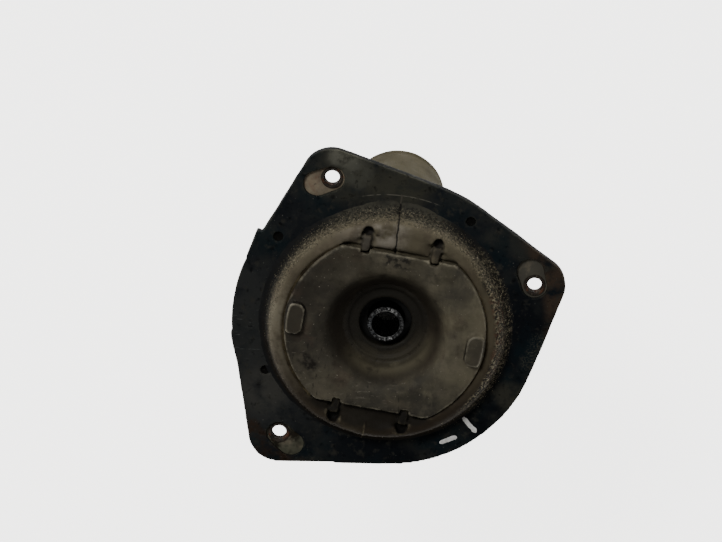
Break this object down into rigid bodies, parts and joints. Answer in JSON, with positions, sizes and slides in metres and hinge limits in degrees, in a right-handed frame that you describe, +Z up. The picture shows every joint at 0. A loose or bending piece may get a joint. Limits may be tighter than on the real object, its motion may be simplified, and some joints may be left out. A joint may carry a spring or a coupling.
{
  "type": "strut mount",
  "caption": "Three-lobed strut top mount with a bonded rubber centre, rebound stop disc with a nut well, ball bearing, spring seat, bump stop and dust boot.",
  "frame": {"origin": "the strut axis where it meets the plate's top face, which is also the top of the sleeve", "axes": "+Z up along the strut axis, out of the face that meets the tower; +X and +Y across the plate, as the picture's right and up"},
  "size_m": [0.1732, 0.1751, 0.22],
  "materials": {
    "plate_steel": "coated pressed steel, brown with surface rust where bare",
    "skin_rubber": "black moulded skin, scuffed and dusty",
    "nut_steel": "phosphated steel",
    "isolator_rubber": "bonded rubber under road dust",
    "core_steel": "pressed steel, phosphated",
    "stop_rubber": "rubber-faced stop, dusty",
    "sleeve_steel": "turned steel, worn bright at the end",
    "case_plastic": "glass-filled plastic, black",
    "race_steel": "hardened steel",
    "cage_plastic": "natural nylon",
    "ball_steel": "polished bearing steel",
    "seal_rubber": "soft black rubber",
    "pad_rubber": "black rubber",
    "stop_foam": "foamed polyurethane, straw coloured",
    "boot_rubber": "black rubber under tan road dust"
  },
  "bodies": {
    "mount": {"mount_plate": "plate_steel", "plate_cover": "skin_rubber", "weld_nut_1": "nut_steel", "weld_nut_2": "nut_steel", "weld_nut_3": "nut_steel", "isolator": "isolator_rubber", "core_cup": "core_steel", "stop_disc": "stop_rubber", "inner_sleeve": "sleeve_steel", "bearing_top_case": "case_plastic", "top_race": "race_steel"},
    "ball_set": {"ball_cage": "cage_plastic", "balls": "ball_steel"},
    "spring_seat": {"bottom_race": "race_steel", "bearing_bottom_case": "case_plastic", "inner_seal": "seal_rubber", "outer_seal": "seal_rubber", "spring_pad": "pad_rubber", "bump_stop": "stop_foam", "dust_boot": "boot_rubber"}
  },
  "joints": [
    {"name": "bearing_spin", "type": "hinge", "parent": "mount", "child": "spring_seat", "pos_m": [0, 0, -0.0162], "axis": [0, 0, 1], "continuous": true},
    {"name": "cage_spin", "type": "hinge", "parent": "mount", "child": "ball_set", "pos_m": [0, 0, -0.0162], "axis": [0, 0, 1], "continuous": true}
  ],
  "couplings": [
    {"joint": "cage_spin", "follows": "bearing_spin", "ratio": 0.5}
  ]
}
